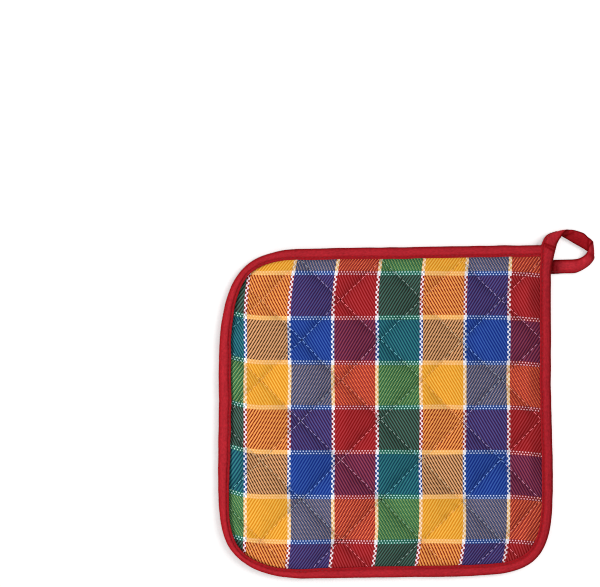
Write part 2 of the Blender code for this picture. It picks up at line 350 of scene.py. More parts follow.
# In yarns: half the size of a gap in the white cord and where its middle is, and half the size of a dot
GAP_WIDTH, GAP_LENGTH, GAP_MIDDLE = 1.12, 1.15, 2.9
DOT_WIDTH, DOT_HEIGHT = 0.88, 0.315

# The weave, worked out step by step for each point: a result's name, the sum, and what goes into it.
# Warp yarns run up the piece and are counted from the left, weft yarns run across and are counted down.
WEAVE = (
    ("from_left", "SUBTRACT", "u", FIRST_WHITE_ENDS - WHITE_ENDS / 2),
    ("columns", "DIVIDE", "from_left", COLUMN_PITCH),
    ("column", "FLOOR", "columns"),
    ("in_column", "FLOORED_MODULO", "from_left", COLUMN_PITCH),
    ("from_top", "SUBTRACT", FIRST_WHITE_PICKS + WHITE_PICKS / 2, "v"),
    ("rows", "DIVIDE", "from_top", ROW_PITCH),
    ("row", "FLOOR", "rows"),
    ("in_row", "FLOORED_MODULO", "from_top", ROW_PITCH),
    ("on_white_ends", "LESS_THAN", "in_column", WHITE_ENDS),
    ("on_dyed_ends", "SUBTRACT", 1, "on_white_ends"),
    ("on_white_picks", "LESS_THAN", "in_row", WHITE_PICKS),
    ("on_dyed_picks", "SUBTRACT", 1, "on_white_picks"),
    # which yarn, and where on it
    ("dyed_width", "SUBTRACT", "in_column", WHITE_ENDS),
    ("ends", "DIVIDE", "dyed_width", END),
    ("end", "FLOOR", "ends"),
    ("picks", "DIVIDE", "in_row", PICK),
    ("white_ends", "DIVIDE", "in_column", WHITE_ENDS / 2),
    ("white_end", "FLOOR", "white_ends"),
    ("white_picks", "DIVIDE", "in_row", WHITE_PICKS / 2),
    ("white_pick", "FLOOR", "white_picks"),
    # two over, two under, one step on from yarn to yarn; the slant turns from cell to cell
    ("cells", "ADD", "column", "row"),
    ("odd_cell", "FLOORED_MODULO", "cells", 2),
    ("slant", "MULTIPLY_ADD", "odd_cell", -2, 1),
    ("stepped", "MULTIPLY", "end", "slant"),
    ("twill", "SUBTRACT", "picks", "stepped"),
    ("float", "FLOORED_MODULO", "twill", 4),
    # the gold yarns are spun a little finer
    ("warp_turn", "FLOORED_MODULO", "column", 4),
    ("gold_warp", "LESS_THAN", "warp_turn", 0.5),
    ("weft_turn", "FLOORED_MODULO", "row", 3),
    ("gold_weft", "GREATER_THAN", "weft_turn", 1.5),
    ("float_share", "MULTIPLY_ADD", "gold_weft", 0.16, 2.72),
    ("float_length", "MULTIPLY_ADD", "gold_warp", -0.28, "float_share"),
    ("twill_up", "LESS_THAN", "float", "float_length"),
    # the two white warp yarns take turns, which makes a cord of them
    ("cord", "MULTIPLY_ADD", "white_end", 2, "picks"),
    ("cord_float", "FLOORED_MODULO", "cord", 4),
    ("from_outside", "PINGPONG", "white_ends", 1),
    ("gap_across", "MULTIPLY", "from_outside", 1 / GAP_WIDTH),
    ("gap_wide", "MULTIPLY", "gap_across", "gap_across"),
    ("gap_along", "MULTIPLY_ADD", "cord_float", 1 / GAP_LENGTH, -GAP_MIDDLE / GAP_LENGTH),
    ("gap_round", "MULTIPLY_ADD", "gap_along", "gap_along", "gap_wide"),
    ("cord_up", "GREATER_THAN", "gap_round", 1),
    # and the two white weft yarns show as two staggered rows of dots
    ("dots", "MULTIPLY_ADD", "white_pick", 2, "ends"),
    ("dot", "FLOORED_MODULO", "dots", 4),
    ("dot_across", "MULTIPLY_ADD", "dot", 1 / DOT_WIDTH, -1),
    ("dot_wide", "MULTIPLY", "dot_across", "dot_across"),
    ("white_pick_side", "FRACT", "white_picks"),
    ("dot_down", "MULTIPLY_ADD", "white_pick_side", 1 / DOT_HEIGHT, -0.5 / DOT_HEIGHT),
    ("dot_round", "MULTIPLY_ADD", "dot_down", "dot_down", "dot_wide"),
    ("dot_off", "GREATER_THAN", "dot_round", 1),
    # which yarn is on top: 1 is the warp
    ("up_dyed", "MULTIPLY", "twill_up", "on_dyed_picks"),
    ("up_beside", "MULTIPLY_ADD", "dot_off", "on_white_picks", "up_dyed"),
    ("up_cloth", "MULTIPLY", "up_beside", "on_dyed_ends"),
    ("up", "MULTIPLY_ADD", "cord_up", "on_white_ends", "up_cloth"),
    ("on_white", "MAXIMUM", "on_white_ends", "on_white_picks"),
    ("mingling", "MULTIPLY_ADD", "on_white", -MINGLING, MINGLING),
    ("white_warp", "MULTIPLY", "on_white_ends", "up"),
    ("down", "SUBTRACT", 1, "up"),
    ("white_weft", "MULTIPLY", "on_white_picks", "down"),
    ("white_top", "ADD", "white_warp", "white_weft"),
    # where white crosses white the gaps get painted shade as hollows, and beside a white yarn the cloth gets painted
    # shade as if in its shadow
    ("crossing", "MULTIPLY", "on_white_ends", "on_white_picks"),
    ("hollow", "MULTIPLY", "crossing", "down"),
    ("hollow_shade", "MULTIPLY_ADD", "hollow", -4.1, "white_top"),
    ("dot_shade", "MULTIPLY_ADD", "gold_warp", -2.2, 2.0),
    ("white_shade", "MULTIPLY_ADD", "white_weft", "dot_shade", "hollow_shade"),
    ("beside_white", "SUBTRACT", "on_white", "white_top"),
    ("gold_beside_dots", "MULTIPLY", "gold_warp", "on_white_picks"),
    ("gold_beside", "MULTIPLY_ADD", "gold_weft", "on_white_ends", "gold_beside_dots"),
    ("shadow", "MULTIPLY_ADD", "gold_beside", 1.5, -2.0),
    ("white_shadow", "MULTIPLY_ADD", "beside_white", "shadow", "white_shade"),
    # the white yarns take up the hue of those that they cross, most of all from gold
    ("cord_tint", "MULTIPLY_ADD", "gold_weft", 0.22, 0.10),
    ("cord_seen", "MULTIPLY", "cord_tint", "white_warp"),
    ("dot_tint", "MULTIPLY_ADD", "gold_warp", 0.20, 0.34),
    ("dot_seen", "MULTIPLY", "dot_tint", "white_weft"),
    ("warp_seen", "SUBTRACT", "up", "cord_seen"),
    ("yarns_seen", "ADD", "warp_seen", "dot_seen"),
    # and beside them gold looks paler
    ("pale", "MULTIPLY", "gold_beside", "beside_white"),
    ("paler", "MULTIPLY_ADD", "up", -0.5, 0.25),
    ("seen", "MULTIPLY_ADD", "pale", "paler", "yarns_seen"),
    ("off_white", "SUBTRACT", 1, "on_white"),
    ("gold_cells", "MULTIPLY", "gold_warp", "off_white"),
    ("all_gold", "MULTIPLY", "gold_cells", "gold_weft"),
    ("crossed_gold", "SUBTRACT", "gold_cells", "all_gold"),
    ("under_gold", "MULTIPLY", "crossed_gold", "down"),
    ("red_weft", "LESS_THAN", "weft_turn", 0.5),
    ("orange", "MULTIPLY", "crossed_gold", "red_weft"),
    # gold and blue, whichever of them is the warp
    ("tan", "SUBTRACT", "crossed_gold", "orange"),
    ("blue_warp", "COMPARE", "warp_turn", 1, 0.5),
    ("blue_cells", "MULTIPLY", "blue_warp", "off_white"),
    ("tan_or_grey", "MULTIPLY_ADD", "blue_cells", "gold_weft", "tan"),
    # how much of the painted shade along the stitches shows: least on gold
    ("crease_share", "MULTIPLY_ADD", "gold_warp", -0.75, 1),
    ("cloth_shade", "MULTIPLY_ADD", "gold_warp", 0.10, 0.87),
    # how far a point is up the slanting rib of floats, whose steeper side is on the right; its crest is set off
    # towards the lit left side, and the colour takes painted shade and a painted highlight from it
    ("rib_ends", "ADD", "ends", -0.12),
    ("rib_step", "MULTIPLY", "rib_ends", "slant"),
    ("rib_place", "SUBTRACT", "picks", "rib_step"),
    ("rib_turn", "MULTIPLY_ADD", "rib_place", math.pi / 2, -1.3 * math.pi / 2),
    ("rib_swing", "COSINE", "rib_turn"),
    ("rib", "MULTIPLY_ADD", "rib_swing", 0.5, 0.5),
)


def checked_twill():
    """Yarn-dyed cotton twill, woven two over two: matt and slightly fuzzy, ribbed on the slant.

    Each cell mixes its warp and its weft colour in fine slanting lines, and the white yarns, twice as
    thick, stand out as a cord up the piece and as two rows of dots across it.
    """
    material, tree = new_material("yarn_dyed_cotton_twill")
    place = put(tree, "ShaderNodeAttribute", attribute_name="cloth", give="Vector")
    split = put(tree, "ShaderNodeSeparateXYZ", place).node
    made = {"u": split.outputs["X"], "v": split.outputs["Y"]}
    for result, operation, *parts in WEAVE:
        parts = [made.get(part, part) for part in parts]
        made[result] = put(tree, "ShaderNodeMath", *parts, operation=operation, label=result)

    dyed = {}
    for yarn, count, dyes in (("warp", "column", WARP_DYES), ("weft", "row", WEFT_DYES)):
        turn = put(tree, "ShaderNodeMath", made[count], 0.5, operation="ADD")
        turn = put(tree, "ShaderNodeMath", turn, 1 / len(dyes), operation="MULTIPLY")
        turn = put(tree, "ShaderNodeMath", turn, 1.0, operation="FLOORED_MODULO")
        colour = put(tree, "ShaderNodeValToRGB", turn)
        ramp = colour.node.color_ramp
        ramp.interpolation = "CONSTANT"
        for step, code in enumerate(dyes):
            stop = ramp.elements[step] if step < 1 else ramp.elements.new(step / len(dyes))
            stop.color = dye(code)
        ramp.elements.remove(ramp.elements[-1])
        on_white = made["on_white_ends" if yarn == "warp" else "on_white_picks"]
        colour = put(tree, "ShaderNodeMix", on_white, at={6: colour, 7: dye(WHITE_DYE)}, give=2, data_type="RGBA")
        dyed[yarn] = put(tree, "ShaderNodeGamma", colour, 1 / GAMMA)
    colour = put(tree, "ShaderNodeMix", made["seen"], at={6: dyed["weft"], 7: dyed["warp"]}, give=2, data_type="RGBA")
    # yarns this fine take up each other's hue but keep their own lightness
    mingled = put(tree, "ShaderNodeMix", WARP_SHARE, at={6: dyed["weft"], 7: dyed["warp"]}, give=2, data_type="RGBA")
    levels = [put(tree, "ShaderNodeVectorMath", given, EYE_WEIGHTS, give="Value", operation="DOT_PRODUCT")
              for given in (colour, mingled)]
    lighter = put(tree, "ShaderNodeMath", *levels, operation="SUBTRACT")
    mingled = put(tree, "ShaderNodeVectorMath", mingled, lighter, operation="ADD")
    colour = put(tree, "ShaderNodeMix", made["mingling"], at={6: colour, 7: mingled}, give=2, data_type="RGBA")
    colour = put(tree, "ShaderNodeVectorMath", colour, (0, 0, 0), operation="MAXIMUM")
    # painted shade makes the hollows between the ribs darker and deeper in colour, and a painted highlight lightens
    # their tops
    rib = put(tree, "ShaderNodeMix", made["on_white"], at={2: made["rib"], 3: 0.8})
    depth = put(tree, "ShaderNodeMapRange", rib, 0.0, 1.0, 3.12, 1.95)
    colour = put(tree, "ShaderNodeGamma", colour, depth)
    for cells, tint in CELL_TINTS:
        tint = put(tree, "ShaderNodeMix", made[cells], at={6: (1, 1, 1, 1), 7: tint}, give=2, data_type="RGBA")
        colour = put(tree, "ShaderNodeVectorMath", colour, tint, operation="MULTIPLY")
    painted_rib_highlight = put(tree, "ShaderNodeMath", rib, 0.028, operation="MULTIPLY")
    colour = put(tree, "ShaderNodeVectorMath", colour, painted_rib_highlight, operation="ADD")

    fibre_scale = put(tree, "ShaderNodeMapping", place, at={"Scale": (1.6, 0.7, 1.0)})
    fibres = put(tree, "ShaderNodeTexNoise", fibre_scale, at={"Scale": 1.0, "Detail": 2.0})
    # painted shade along the quilting lines and at their holes, stored on the pad, least on gold
    painted_light_and_shade = put(tree, "ShaderNodeAttribute", attribute_name="painted_light_and_shade", give="Fac")
    painted_light_and_shade = put(tree, "ShaderNodeMath", painted_light_and_shade, made["crease_share"], operation="MULTIPLY")  # least seen on gold
    shade = put(tree, "ShaderNodeMath", made["white_shadow"], 0.15, made["cloth_shade"], operation="MULTIPLY_ADD")
    shade = put(tree, "ShaderNodeMath", shade, painted_light_and_shade, operation="SUBTRACT")
    shade = put(tree, "ShaderNodeMath", fibres, 0.30, shade, operation="MULTIPLY_ADD")
    colour = put(tree, "ShaderNodeVectorMath", colour, at={"Scale": shade}, operation="SCALE")
    height = put(tree, "ShaderNodeMix", made["on_white"], at={2: made["rib"], 3: made["white_top"]})
    bump = put(tree, "ShaderNodeBump", at={"Height": height, "Strength": 0.5, "Distance": 0.00015})
    shader = put(tree, "ShaderNodeBsdfPrincipled", colour, at={
        "Roughness": 0.92, "Diffuse Roughness": made["gold_warp"], "Specular IOR Level": 0.12,
        "Sheen Weight": 0.03, "Sheen Roughness": 0.5, "Normal": bump,
    })
    put(tree, "ShaderNodeOutputMaterial", shader)
    return material


# The binding has pulled the cloth's edges askew. In millimetres for each side: how far out that starts, the
# reach in which it comes on, how sharply the lines bend, how far they are pulled by then in the middle of
# the side, and how much more for each millimetre along it.
TOP_PULL = (50, 42, 2.2, 3.2, -0.022)
FOOT_PULL = (72, 26, 2, 2.4, 0.012)
LEFT_PULL = (86, 20, 2, 3.0, 0)
RIGHT_PULL = (58, 26, 2, 1.9, 0)
COLUMN_RIPPLES = ((0.35, 0.035, 11.3), (0.08, 0.004, 12.6))
ROW_RIPPLES = ((0.35, 0.035, 15.9), (0.08, 0.004, 17.2))


def pulled(out, along, start, reach, bend, pull, more):
    """How far the cloth is pulled askew at places so far out towards a side and so far along it."""
    return np.clip((out - start) / reach, 0, None) ** bend * (pull + more * along)


def cloth_place(points):
    """Where on the woven cloth a point is, in millimetres."""
    x, y = points.T * 1000
    askew_x = pulled(-y, x, *FOOT_PULL) - pulled(y, x, *TOP_PULL) + wavering(points, *COLUMN_RIPPLES)
    askew_y = pulled(x, y, *RIGHT_PULL) - pulled(-x, y, *LEFT_PULL) + wavering(points, *ROW_RIPPLES)
    return np.stack([x + askew_x, y + askew_y], axis=1)


def build_pad():
    """The face and the back, filled to a shared blunt rim that the binding hides."""
    rims = [raised(rim_loop(inset), height) for inset, height in PAD_RIM]
    least = min(len(rim) for rim in rims)
    rims = [rim[np.linspace(0, len(rim) - 1, least).round().astype(int)] for rim in rims]
    points, faces = list(np.vstack(rims)), []
    for level in range(len(rims) - 1):
        for place in range(least):
            here, following = level * least + place, level * least + (place + 1) % least
            faces.append((here, following, following + least, here + least))
    lattice, painted_shades = {}, [np.zeros(len(points))]
    for rim, steps, heights, first in ((rims[0], BACK_STEPS, back_heights, 0),
                                       (rims[-1], FACE_STEPS, face_heights, least * (len(rims) - 1))):
        margin = PAD_RIM[0][0] + 0.35 * QUILT_PITCH / steps
        flat, across, along, inside = quilt_lattice(steps, margin)
        inner = raised(flat, heights(flat, across, along, inside))
        corners = [Vector(point[:2]) for point in rim] + [Vector(point) for point in flat]
        rim_edges = [(place, (place + 1) % least) for place in range(least)]
        triangles = delaunay_2d_cdt(corners, rim_edges, [], 1, 1e-8)[2]
        offset = len(points)
        faces += [tuple(first + p if p < least else offset + p - least for p in triangle) for triangle in triangles]
        points += list(inner)
        painted_shades.append(painted_crease_shades(across, along, inside) if steps == FACE_STEPS else np.zeros(len(inner)))
        lattice = {(a, b): (point, depth) for a, b, point, depth in zip(across, along, inner, inside)}
    pad = finished("check_pad", points, faces, checked_twill())
    add_attribute(pad.data, "cloth", "FLOAT_VECTOR", with_zero(cloth_place(np.array(points)[:, :2])))
    # the painted shade along the stitches, stored for the material
    add_attribute(pad.data, "painted_light_and_shade", "FLOAT", np.concatenate(painted_shades))
    return pad, lattice


pad, quilt_points = build_pad()
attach(pad, BODY)
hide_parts("quilted_pad")


# --- Quilting stitches --------------------------------------------------------------------------
# White cotton sewing thread in a plain running stitch of about 3.5 mm along every quilting line. Each
# stitch lies on the face for three fifths of its pitch and dives through the pad at both ends.

STITCH_LENGTH = 0.0022
THREAD = 0.00038
# How light the thread looks, from 0 to 1. It looks lightest on gold, the lightest of the cloth's colours.
THREAD_LEVEL = 0.66
THREAD_LEVEL_ON_GOLD = 0.76
THREAD_PALENESS = 0.12  # how much of its own white is left beside the cloth's hue
STITCH_MARGIN = 0.0068  # nearer the outline than this the binding covers the stitches
STITCH_LIFT = 0.00012
STITCH_TURN = 0.35  # how far a stitch may stray from its line, in radians
STITCH_SCATTER = 900  # so that neighbours stray differently


def stitch_tree():
    """A bowed piece of thread on every point, turned along its line of stitches."""
    tree = bpy.data.node_groups.new("running_stitches", "GeometryNodeTree")
    sockets = (
        ("Geometry", "INPUT", "NodeSocketGeometry", None), ("Geometry", "OUTPUT", "NodeSocketGeometry", None),
        ("Stitch Length", "INPUT", "NodeSocketFloat", STITCH_LENGTH),
        ("Thread", "INPUT", "NodeSocketFloat", THREAD),
        ("Bow", "INPUT", "NodeSocketFloat", 0.0004), ("Unevenness", "INPUT", "NodeSocketFloat", 0.12),
        ("Seed", "INPUT", "NodeSocketInt", 4), ("Material", "INPUT", "NodeSocketMaterial", None),
    )
    for name, way, kind, value in sockets:
        socket = tree.interface.new_socket(name, in_out=way, socket_type=kind)
        if value is not None:
            socket.default_value = value
    given = tree.nodes.new("NodeGroupInput").outputs
    half = put(tree, "ShaderNodeMath", given["Stitch Length"], 0.5, operation="MULTIPLY")
    back = put(tree, "ShaderNodeMath", half, -1.0, operation="MULTIPLY")
    sink = put(tree, "ShaderNodeMath", given["Bow"], -1.0, operation="MULTIPLY")
    start = put(tree, "ShaderNodeCombineXYZ", back, 0.0, sink)
    middle = put(tree, "ShaderNodeCombineXYZ", 0.0, 0.0, given["Bow"])
    end = put(tree, "ShaderNodeCombineXYZ", half, 0.0, sink)
    bow = put(tree, "GeometryNodeCurveQuadraticBezier", 6, start, middle, end)
    radius = put(tree, "ShaderNodeMath", given["Thread"], 0.5, operation="MULTIPLY")
    circle = put(tree, "GeometryNodeCurvePrimitiveCircle", at={"Resolution": 6, "Radius": radius})
    thread = put(tree, "GeometryNodeCurveToMesh", bow, circle, at={"Fill Caps": True})
    along = put(tree, "GeometryNodeInputNamedAttribute", "along", data_type="FLOAT_VECTOR")
    up = put(tree, "GeometryNodeInputNamedAttribute", "up", data_type="FLOAT_VECTOR")
    turn = put(tree, "FunctionNodeAxesToRotation", along, up, primary_axis="X", secondary_axis="Z")
    least = put(tree, "ShaderNodeMath", 1.0, given["Unevenness"], operation="SUBTRACT")
    most = put(tree, "ShaderNodeMath", 1.0, given["Unevenness"], operation="ADD")
    size = put(tree, "FunctionNodeRandomValue", at={2: least, 3: most, "Seed": given["Seed"]}, give=1)
    placed = put(tree, "GeometryNodeInstanceOnPoints", given["Geometry"], at={
        "Instance": thread, "Rotation": turn, "Scale": size,
    })
    real = put(tree, "GeometryNodeRealizeInstances", placed)
    shaded = put(tree, "GeometryNodeSetShadeSmooth", real)
    put(tree, "NodeGroupOutput", put(tree, "GeometryNodeSetMaterial", shaded, at={"Material": given["Material"]}))
    return tree


STITCH_TREE = stitch_tree()


def sew(name, places, ways, ups, material, **sizes):
    """Stitches at the given places as one plain mesh."""
    mesh = bpy.data.meshes.new(name)
    mesh.from_pydata([tuple(place) for place in places], [], [])
    add_attribute(mesh, "along", "FLOAT_VECTOR", ways)
    add_attribute(mesh, "up", "FLOAT_VECTOR", ups)
    holder = add_object(name + "_places", mesh)
    modifier = holder.modifiers.new("stitches", "NODES")
    modifier.node_group = STITCH_TREE
    chosen = {"Material": material, **{key.replace("_", " ").title(): value for key, value in sizes.items()}}
    for socket in STITCH_TREE.interface.items_tree:
        if socket.in_out == "INPUT" and socket.name in chosen:
            modifier[socket.identifier] = chosen[socket.name]
    sewn = bpy.data.meshes.new_from_object(holder.evaluated_get(bpy.context.evaluated_depsgraph_get()))
    bpy.data.objects.remove(holder)
    sewn.name = name
    for attribute in ("along", "up"):
        if attribute in sewn.attributes:
            sewn.attributes.remove(sewn.attributes[attribute])
    return add_object(name, sewn)


def sewing_thread(name, code=None):
    """Spun cotton thread: two plies twisted together, matt, with a lighter edge from loose fibres.

    Without a colour of its own it takes the one stored along it.
    """
    material, tree = new_material(name)
    place = put(tree, "ShaderNodeTexCoord", give="Object")
    plies = put(tree, "ShaderNodeTexNoise", place, at={"Scale": 2500.0, "Detail": 1.0})
    shade = put(tree, "ShaderNodeMapRange", plies, 0.3, 0.7, 0.8, 1.1)
    own = dye(code)[:3] if code else put(tree, "ShaderNodeAttribute", attribute_name="tint", give="Color")
    colour = put(tree, "ShaderNodeVectorMath", own, at={"Scale": shade}, operation="SCALE")
    bump = put(tree, "ShaderNodeBump", at={"Height": plies, "Strength": 0.4, "Distance": 0.00005})
    shader = put(tree, "ShaderNodeBsdfPrincipled", colour, at={
        "Roughness": 0.8, "Specular IOR Level": 0.3, "Sheen Weight": 0.2, "Normal": bump,
    })
    put(tree, "ShaderNodeOutputMaterial", shader)
    return material


def quilting_places():
    """The middle of every stitch that is clear of the binding, and the way that it runs."""
    places, ways = [], []
    for (a, b), (point, inside) in quilt_points.items():
        for count, other, step in ((a, b, (0, 1)), (b, a, (1, 0))):
            if count % FACE_STEPS or other % STITCH_STEPS != STITCH_STEPS // 2 or inside < STITCH_MARGIN:
                continue
            ends = [quilt_points.get((a + side * step[0], b + side * step[1])) for side in (-1, 1)]
            if None in ends:
                continue
            places.append(point + (0, 0, STITCH_LIFT))
            way = Vector(ends[1][0] - ends[0][0])
            way.rotate(Euler((0, 0, STITCH_TURN * noise.noise(Vector(point) * STITCH_SCATTER))))
            ways.append(way)
    return places, ways


def thread_tints(points):
    """The thread is fine enough to take up the hue of the cloth around it, but it stays pale."""
    u, v = cloth_place(points[:, :2]).T
    warps, wefts = (np.array([dye(code)[:3] for code in dyes]) ** (1 / GAMMA) for dyes in (WARP_DYES, WEFT_DYES))
    column = np.floor((u - FIRST_WHITE_ENDS + WHITE_ENDS / 2) / COLUMN_PITCH).astype(int) % len(warps)
    row = np.floor((FIRST_WHITE_PICKS + WHITE_PICKS / 2 - v) / ROW_PITCH).astype(int) % len(wefts)
    cloth = WARP_SHARE * warps[column] + (1 - WARP_SHARE) * wefts[row]
    level = np.where(column == 0, THREAD_LEVEL_ON_GOLD, THREAD_LEVEL)[:, None]
    pale = cloth + level - (cloth @ EYE_WEIGHTS)[:, None]
    return np.clip((1 - THREAD_PALENESS) * pale + THREAD_PALENESS * level, 0, 1) ** GAMMA


places, ways = quilting_places()
quilting = sew("quilting_stitches", places, ways, [(0, 0, 1)] * len(places), sewing_thread("white_cotton_thread"))
points = np.array([vertex.co for vertex in quilting.data.vertices])
add_attribute(quilting.data, "tint", "FLOAT_COLOR", np.column_stack([thread_tints(points), np.ones(len(points))]))
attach(quilting, BODY)


# --- Binding and hanging loop -------------------------------------------------------------------
# One long strip of red cotton tape, its raw edges turned in. It is folded over the pad's edge and sewn
# through near its inner edge. Past the square corner it runs on, folded flat on itself, as the loop.

TAPE_HEIGHT = 0.0046
TAPE_THICK = 0.0009
TAPE_STITCH = 0.0014  # from the strip's edge in to its line of stitches
TAPE_CROWN = 0.00035  # how much fuller it is between its fold and its stitches
# The last side lies over the start of the first: it is that much thicker and reaches down half of that
OVERLAP_RISE, OVERLAP_DROP = 0.00128, 0.00064
OVERLAP_START, OVERLAP_RAMP = 0.084, 0.007
LAST_SIDE = 0.78  # share of the way round where it starts
# width at shares of the way round, from the loop's corner and back to it
TAPE_WIDTHS = ((0, 0.0070), (0.10, 0.0071), (0.20, 0.0069), (0.228, 0.0058), (0.26, 0.0054), (0.276, 0.0058),
               (0.308, 0.0069), (0.34, 0.0076), (0.40, 0.0075), (0.436, 0.0067), (0.467, 0.0055), (0.50, 0.0048),
               (0.53, 0.0052), (0.563, 0.0062), (0.61, 0.0068), (0.675, 0.0070), (0.72, 0.0066), (0.80, 0.0067),
               (0.93, 0.0068), (1, 0.0068))
# It is folded and guided by hand, so its width, fold, height and crown waver.
WIDTH_WAVE, FOLD_WAVE = (0.00018, 0.011, 21.0), (0.00012, 0.009, 27.0)
HEIGHT_WAVE, CROWN_WAVE = (0.00015, 0.014, 31.0), (0.00015, 0.010, 35.0)
# At the loop the last side opens: its fold moves out and its width grows, from this height on the piece
FLARE, FLARE_WIDTH = 0.0035, 0.0025
FLARE_START = 0.079

# A row is one place along the loop: its left and right edges, seen from the side that is up where it
# leaves the binding, and how far it has been turned over, in degrees.
LOOP_PLACES = np.array((
    (0.0823, 0.0969, 0.0036, 0.0916, 0.0969, 0.0038, 0),
    (0.0837, 0.1006, 0.0035, 0.0925, 0.0989, 0.0041, 0),
    (0.0856, 0.1029, 0.0035, 0.0935, 0.1007, 0.0045, 0),
    (0.0877, 0.1041, 0.0036, 0.0948, 0.1026, 0.0045, 0),
    (0.0898, 0.1048, 0.0037, 0.0964, 0.1047, 0.0041, 0),
    (0.0914, 0.1045, 0.0031, 0.0981, 0.1058, 0.0033, 90),
    (0.0926, 0.1040, 0.0022, 0.1003, 0.1063, 0.0023, 180),
    (0.0949, 0.1023, 0.0016, 0.1031, 0.1059, 0.0016, 180),
    (0.0991, 0.0999, 0.0017, 0.1059, 0.1051, 0.0012, 180),
    (0.1031, 0.0975, 0.0018, 0.1086, 0.1040, 0.0009, 180),
    (0.1068, 0.0955, 0.0017, 0.1108, 0.1019, 0.0010, 180),
    (0.1103, 0.0933, 0.0014, 0.1126, 0.1006, 0.0014, 180),
    (0.1130, 0.0917, 0.0014, 0.1132, 0.0998, 0.0020, 180),
    (0.1141, 0.0893, 0.0024, 0.1131, 0.0992, 0.0032, 270),
    (0.1134, 0.0868, 0.0035, 0.1113, 0.0968, 0.0041, 360),
    (0.1116, 0.0847, 0.0034, 0.1105, 0.0933, 0.0036, 360),
    (0.1088, 0.0826, 0.0027, 0.1089, 0.0909, 0.0029, 360),
    (0.1057, 0.0809, 0.0018, 0.1061, 0.0891, 0.0021, 360),
    (0.1026, 0.0799, 0.0011, 0.1028, 0.0883, 0.0014, 360),
    (0.0964, 0.0797, 0.0008, 0.0964, 0.0881, 0.0009, 360),
    (0.0915, 0.0794, 0.0007, 0.0915, 0.0880, 0.0007, 360),
    (0.0835, 0.0792, 0.0007, 0.0835, 0.0878, 0.0007, 360),
))
LOOP_STEPS = 12
LOOP_HEIGHT = 0.0015
LOOP_THICK = 0.0007
LOOP_CROWN, LOOP_CROWN_START = 0.0001, 0.0004
LOOP_FLATTENS = 2.2  # over this many of the places above it goes from the binding's section to its own

# Creases pressed into the strip, with painted shade along them, and painted shadows and highlights where the folded
# loop turns to and from the light: from a point to a point, how wide, and how much painted shade they carry (below 0,
# a painted highlight)
CREASES_AND_PAINTED_LIGHT = np.array((
    (0.0845, 0.0977, 0.0900, 0.0955, 0.0006, 0.45),
    (0.0848, 0.0961, 0.0892, 0.0935, 0.0006, 0.42),
    (0.0955, 0.1024, 0.0976, 0.1024, 0.0008, 0.25),
    (0.0972, 0.1026, 0.1020, 0.1046, 0.0006, 0.30),
    (0.0995, 0.1028, 0.1075, 0.0985, 0.0042, 0.25),
    (0.1106, 0.0940, 0.1110, 0.0998, 0.0007, 0.38),
    (0.1119, 0.0985, 0.1120, 0.0935, 0.0007, -0.15),
    (0.1112, 0.0915, 0.1137, 0.0903, 0.0012, 0.20),
    (0.1080, 0.0880, 0.1090, 0.0872, 0.0012, -0.10),
    (0.0945, 0.0845, 0.1020, 0.0845, 0.0018, -0.08),
    (0.0893, 0.0872, 0.0891, 0.0800, 0.0011, 0.42),
    (0.0915, 0.0840, 0.0918, 0.0806, 0.0005, 0.20),
))
CREASE_DEPTH = 0.0008  # of a crease whose darkness is 1
# Painted shade: how much darker the strip is drawn where it turns down at its edges, and in the hollow of its
# stitches
FOLD_SHADE, FOLD_REACH = 0.53, 0.0009
SEAM_SHADE, SEAM_REACH = 0.25, 0.0007
LIP_SHADE, LIP_REACH = 0.22, 0.0006
LOOP_SHADE = 0.68


def stitch_dip(thick):
    """How deep the stitches pull the strip in."""
    return np.minimum(0.25 * thick, 0.00035)


def strip_section(width, height, thick, crown):
    """The folded strip's section as distances in from its fold and heights, all the way round."""
    nose = min(height / 2, width / 3)
    stitch = width - TAPE_STITCH
    dip = stitch_dip(thick)
    # its points are far apart over the crown, and close together at the stitches and at the lip
    shares = np.linspace(0, 0.93, 13)
    beside = stitch + np.array((-0.0006, -0.0003, 0, 0.0003, 0.0007))
    runs = np.concatenate([nose + (stitch - 0.0008 - nose) * shares, beside, [width - 0.00025, width]])
    groove = dip * np.exp(-((runs - stitch) / 0.0004) ** 2)
    drop = np.where(runs >= width - 1e-9, 0.3 * thick, 0)
    crowned = crown * np.sin(np.pi * np.clip((runs - nose) / (stitch - nose), 0, 1)) ** 0.8
    upper = np.stack([runs, height + crowned - groove - drop], axis=1)
    lower = np.stack([runs, groove * 0.7 + drop], axis=1)[::-1]
    angles = np.radians(np.linspace(-78, 78, 9))
    round_nose = np.stack([nose * (1 - np.cos(angles)), height / 2 * (1 + np.sin(angles))], axis=1)
    inner = np.array([(width, height - thick), (nose + 0.2 * thick, height - thick), (thick, height * 0.6),
                      (thick, height * 0.4), (nose + 0.2 * thick, thick), (width, thick)])
    return np.vstack([lower, round_nose, upper, inner])


def creases_and_painted_light(points):
    """How deep in the creases each point is, which also sets the painted shade there, or a painted highlight where it
    is below 0.
    """
    marks = np.zeros(len(points))
    for x1, y1, x2, y2, width, dark in CREASES_AND_PAINTED_LIGHT:
        start, way = np.array((x1, y1)), np.array((x2 - x1, y2 - y1))
        along = np.clip((points[:, :2] - start) @ way / (way @ way), 0, 1)
        away = np.linalg.norm(points[:, :2] - start - along[:, None] * way, axis=1)
        marks += dark * np.exp(-(away / width) ** 2)
    return marks


